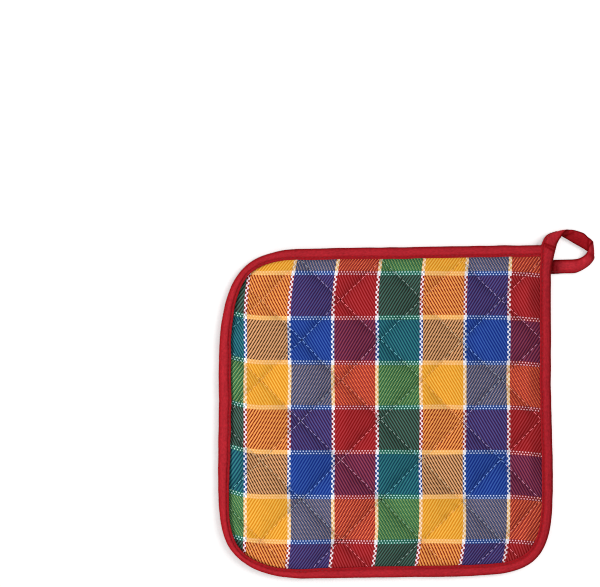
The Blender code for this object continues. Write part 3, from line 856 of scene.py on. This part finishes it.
def binding_stations():
    """For each station round the pad: the fold's place, the way in, up, the strip's sizes there, and its painted
    shade at the fold, the lip and the seam.
    """
    share = edge_run / edge_run[-1]
    widths = np.interp(share, *zip(*TAPE_WIDTHS)) + wavering(edge, WIDTH_WAVE)
    last_side = share > LAST_SIDE
    opened = np.where(last_side, np.clip((edge[:, 1] - FLARE_START) / (LOOP_CORNER[1] - FLARE_START), 0, 1) ** 1.3, 0)
    over = np.where(last_side, smooth((edge[:, 1] - OVERLAP_START) / OVERLAP_RAMP), 0)
    folds = edge + edge_in * (wavering(edge, FOLD_WAVE) - FLARE * opened)[:, None]
    widths = widths + FLARE_WIDTH * opened
    heights = TAPE_HEIGHT + wavering(edge, HEIGHT_WAVE) + OVERLAP_RISE * over
    base = lift(edge) - OVERLAP_DROP * over
    crowns = TAPE_CROWN + wavering(edge, CROWN_WAVE)
    for place in range(len(edge)):
        yield (np.array((*folds[place], base[place])), np.array((*edge_in[place], 0)), np.array((0, 0, 1.0)),
               widths[place], heights[place], TAPE_THICK, crowns[place], (FOLD_SHADE, LIP_SHADE, SEAM_SHADE))


def eased(before, start, end, after, share):
    """A smooth curve through the middle two of four values."""
    slope_in, slope_out = (end - before) / 2, (after - start) / 2
    run = end - start
    return (start + slope_in * share + (3 * run - 2 * slope_in - slope_out) * share ** 2
            + (slope_in + slope_out - 2 * run) * share ** 3)


def loop_stations():
    """The same for the loop, which starts as the binding ends and is soon pressed flat."""
    knots = np.vstack([2 * LOOP_PLACES[0] - LOOP_PLACES[1], LOOP_PLACES, 2 * LOOP_PLACES[-1] - LOOP_PLACES[-2]])
    rows = [eased(*knots[first:first + 4], step / LOOP_STEPS)
            for first in range(len(LOOP_PLACES) - 1) for step in range(LOOP_STEPS)] + [LOOP_PLACES[-1]]
    full = TAPE_HEIGHT + OVERLAP_RISE
    for number, row in enumerate(rows):
        left, right = row[:3], row[3:6]
        width = np.linalg.norm(left - right)
        inward = (left - right) / width
        beside = np.cross((0, 0, 1), -inward)
        beside /= np.linalg.norm(beside)
        level = np.cross(-inward, beside)
        turn = math.radians(row[6])
        up = level * math.cos(turn) + beside * math.sin(turn)
        flat = float(smooth(number / LOOP_STEPS / LOOP_FLATTENS))
        height = full + (LOOP_HEIGHT - full) * flat
        thick = TAPE_THICK + (LOOP_THICK - TAPE_THICK) * flat
        painted_shades = LOOP_SHADE, LIP_SHADE + (LOOP_SHADE - LIP_SHADE) * flat, SEAM_SHADE * (1 - 0.7 * flat)
        crown = LOOP_CROWN + (LOOP_CROWN_START - LOOP_CROWN) * (1 - flat)
        yield right - up * height / 2, inward, up, width, height, thick, crown, painted_shades


TAPE_DYE = "#b92833"
TAPE_WEAVE = 0.5  # millimetres from yarn to yarn


def cotton_tape():
    """Red cotton tape in a close plain weave: matt, with painted shade that makes it darker and deeper in its creases
    and at its turned edges.

    The real weave is about 0.25 mm, too fine for the render, so it is drawn at 0.5 mm.
    """
    material, tree = new_material("red_cotton_tape")
    place = put(tree, "ShaderNodeAttribute", attribute_name="tape", give="Vector")
    split = put(tree, "ShaderNodeSeparateXYZ", place).node
    yarns = []
    for axis, phase in (("X", 0.0), ("Y", 0.25)):
        turns = put(tree, "ShaderNodeMath", split.outputs[axis], 2 * math.pi / TAPE_WEAVE, phase,
                    operation="MULTIPLY_ADD")
        yarns.append(put(tree, "ShaderNodeMath", turns, operation="SINE"))
    weave = put(tree, "ShaderNodeMath", *yarns, operation="MULTIPLY")
    stretched = put(tree, "ShaderNodeMapping", place, at={"Scale": (0.55, 0.9, 1.0)})
    slubs = put(tree, "ShaderNodeTexNoise", stretched, at={"Scale": 1.0, "Detail": 3.0, "Roughness": 0.6})
    wear = put(tree, "ShaderNodeTexNoise", place, at={"Scale": 0.12, "Detail": 2.0})
    painted_light_and_shade = put(tree, "ShaderNodeAttribute", attribute_name="painted_light_and_shade", give="Fac")
    # painted shade: where the stored shade is, the red is drawn deeper and darker
    depth = put(tree, "ShaderNodeMath", painted_light_and_shade, 0.9, 1.0, operation="MULTIPLY_ADD")
    colour = put(tree, "ShaderNodeGamma", dye(TAPE_DYE), depth)
    shade = put(tree, "ShaderNodeMath", weave, 0.08, 0.42, operation="MULTIPLY_ADD")
    shade = put(tree, "ShaderNodeMath", painted_light_and_shade, -0.5, shade, operation="MULTIPLY_ADD")
    shade = put(tree, "ShaderNodeMath", slubs, 0.95, shade, operation="MULTIPLY_ADD")
    shade = put(tree, "ShaderNodeMath", wear, 0.30, shade, operation="MULTIPLY_ADD")
    shade = put(tree, "ShaderNodeMath", shade, 0.15, operation="MAXIMUM")
    colour = put(tree, "ShaderNodeVectorMath", colour, at={"Scale": shade}, operation="SCALE")
    relief = put(tree, "ShaderNodeMath", slubs, 1.5, weave, operation="MULTIPLY_ADD")
    bump = put(tree, "ShaderNodeBump", at={"Height": relief, "Strength": 0.35, "Distance": 0.00008})
    shader = put(tree, "ShaderNodeBsdfPrincipled", colour, at={
        "Roughness": 0.8, "Diffuse Roughness": 1.0, "Specular IOR Level": 0.05, "Normal": bump,
    })
    put(tree, "ShaderNodeOutputMaterial", shader)
    return material


def build_strip(name, stations, material, start_run):
    """The section swept along its stations and closed at both ends, with the places of its stitches."""
    rings, places, painted_shades, sewn, run, last = [], [], [], [], start_run, None
    for fold, inward, up, width, height, thick, crown, (at_fold, at_lip, at_seam) in stations:
        section = strip_section(width, height, thick, crown)
        middle = fold + inward * width / 2
        if last is not None:
            run += float(np.linalg.norm(middle - last))
        last = middle
        ring = fold + section[:, :1] * inward + section[:, 1:] * up
        # the creases dent the upper side; with the fold, the lip and the seam they set the painted shade, and where
        # below 0 a painted highlight
        marks = creases_and_painted_light(ring)
        upper = section[:, 1] > height - thick * 0.9
        rings.append(ring - np.outer(marks * upper * CREASE_DEPTH, up))
        inset = section[:, 0]
        painted_shades.append(marks + at_fold * np.exp(-(inset / FOLD_REACH) ** 2)
                      + at_lip * np.exp(-((width - inset) / LIP_REACH) ** 2)
                      + at_seam * np.exp(-((width - TAPE_STITCH - inset) / SEAM_REACH) ** 2))
        girth = np.concatenate(([0], np.cumsum(np.linalg.norm(np.diff(section, axis=0), axis=1))))
        places.append(np.stack([np.full(len(section), run), girth], axis=1) * 1000)
        sewn.append((run, fold + inward * (width - TAPE_STITCH), up, height, thick))
    around = len(rings[0])
    faces = [(ring * around + place, ring * around + (place + 1) % around,
              (ring + 1) * around + (place + 1) % around, (ring + 1) * around + place)
             for ring in range(len(rings) - 1) for place in range(around)]
    faces += [tuple(range(around))[::-1], tuple(range((len(rings) - 1) * around, len(rings) * around))]
    strip = finished(name, np.vstack(rings), faces, material)
    for end in strip.data.polygons[-2:]:
        end.use_smooth = False
    add_attribute(strip.data, "tape", "FLOAT_VECTOR", with_zero(np.vstack(places)))
    add_attribute(strip.data, "painted_light_and_shade", "FLOAT", np.concatenate(painted_shades))
    return strip, sewn, run


tape = cotton_tape()
binding, binding_seam, binding_run = build_strip("binding_tape", binding_stations(), tape, 0.0)
loop, loop_seam, loop_end = build_strip("loop_tape", loop_stations(), tape, binding_run)
for strip, node in ((binding, "edge_binding"), (loop, "hanging_loop")):
    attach(strip, BODY)
    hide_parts(node)


# --- Edge stitching -----------------------------------------------------------------------------
# Red cotton thread in a straight machine stitch of 2.6 mm, through the strip on both sides of the pad.

EDGE_STITCH = 0.0026
EDGE_THREAD, EDGE_BOW = 0.0003, 0.00022
RED_THREAD_DYE = "#8e1822"
THREAD_OVER, THREAD_SUNK = 0.00002, 0.00017  # above the upper side, and into the lower, on which the piece lies


def seam_places(seam):
    """Stitches along the strip's seam, on its upper and its lower side."""
    runs, lines, ups, heights, thicks = (np.array(column) for column in zip(*seam))
    at = np.arange(runs[0] + EDGE_STITCH, runs[-1] - EDGE_STITCH, EDGE_STITCH)
    line, way, up, height, dip = (
        np.stack([np.interp(at, runs, column) for column in table.T], axis=1)
        for table in (lines, np.gradient(lines, axis=0), ups, heights[:, None], stitch_dip(thicks)[:, None])
    )
    places = np.vstack([line + up * (height - dip + THREAD_OVER), line + up * (dip * 0.7 + THREAD_SUNK)])
    return places, np.vstack([way, way]), np.vstack([up, -up])


red_thread = sewing_thread("red_cotton_thread", RED_THREAD_DYE)
places, ways, ups = (np.vstack(parts) for parts in zip(seam_places(binding_seam), seam_places(loop_seam)))
edge_stitches = sew("edge_stitches", places, ways, ups, red_thread, thread=EDGE_THREAD, bow=EDGE_BOW)
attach(edge_stitches, BODY)


# --- Studio -------------------------------------------------------------------------------------
# A white table under the room's even light, with a wide soft light from the left on the pieces and two
# more on the table alone, which make the ground nearly white. The camera looks straight down from far off.

PICTURE_WIDTH = 0.366
PICTURE_CENTRE = (-0.0647, 0.0674)
CAMERA_HEIGHT = 2.2
SENSOR = 36.0  # millimetres
TABLE_HALF = 2.0
TABLE_LEVEL = -0.0001  # a little below the underside of the pad


def white_table():
    """White melamine board: pale, even and half matt."""
    material, tree = new_material("white_melamine")
    place = put(tree, "ShaderNodeTexCoord", give="Object")
    grain = put(tree, "ShaderNodeTexNoise", place, at={"Scale": 60.0, "Detail": 2.0})
    colour = put(tree, "ShaderNodeMix", grain, at={6: dye("#f4f4f4"), 7: dye("#f8f8f8")}, give=2, data_type="RGBA")
    shader = put(tree, "ShaderNodeBsdfPrincipled", colour, at={"Roughness": 0.6, "Specular IOR Level": 0.2})
    put(tree, "ShaderNodeOutputMaterial", shader)
    return material


table_mesh = bpy.data.meshes.new("table")
table_corners = [(x * TABLE_HALF, y * TABLE_HALF, TABLE_LEVEL) for x, y in ((-1, -1), (1, -1), (1, 1), (-1, 1))]
table_mesh.from_pydata(table_corners, [], [(0, 1, 2, 3)])
table_mesh.materials.append(white_table())
table = add_object("table", table_mesh)
table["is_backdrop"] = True

world = bpy.data.worlds.new("room")
world.use_nodes = True
room_light = world.node_tree.nodes["Background"].inputs
room_light["Color"].default_value = (1, 1, 1, 1)
room_light["Strength"].default_value = 0.6
bpy.context.scene.world = world
bpy.context.scene.view_settings.view_transform = "Standard"
bpy.context.scene.cycles.filter_width = 1.0  # as sharp as the photograph

pieces = bpy.data.collections.new("pot_holder_pieces")
for piece in (pad, quilting, binding, loop, edge_stitches):
    pieces.objects.link(piece)
surface = bpy.data.collections.new("table_top")
surface.objects.link(table)
for name, place, size, power, lit in (("window_light", (-1.5, -0.15, 1.0), 0.6, 25.0, pieces),
                                      ("table_light", (1.3, 0.6, 1.4), 0.9, 15.0, surface),
                                      ("overhead_light", (0.0, 0.0, 2.0), 0.5, 14.5, surface)):
    lamp = bpy.data.lights.new(name, "AREA")
    lamp.size = size
    lamp.energy = power
    lamp_object = add_object(name, lamp)
    lamp_object.light_linking.receiver_collection = lit
    lamp_object.location = place
    lamp_object.rotation_euler = (-Vector(place)).to_track_quat("-Z", "Y").to_euler()

camera = add_object("camera", bpy.data.cameras.new("camera"))
camera.data.sensor_width = SENSOR
camera.data.lens = SENSOR * CAMERA_HEIGHT / PICTURE_WIDTH
camera.data.clip_end = 20
camera.location = (*PICTURE_CENTRE, CAMERA_HEIGHT)
bpy.context.scene.camera = camera

str([[list(map(float, corner)) for corner in box] for box in (cad_box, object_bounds())])
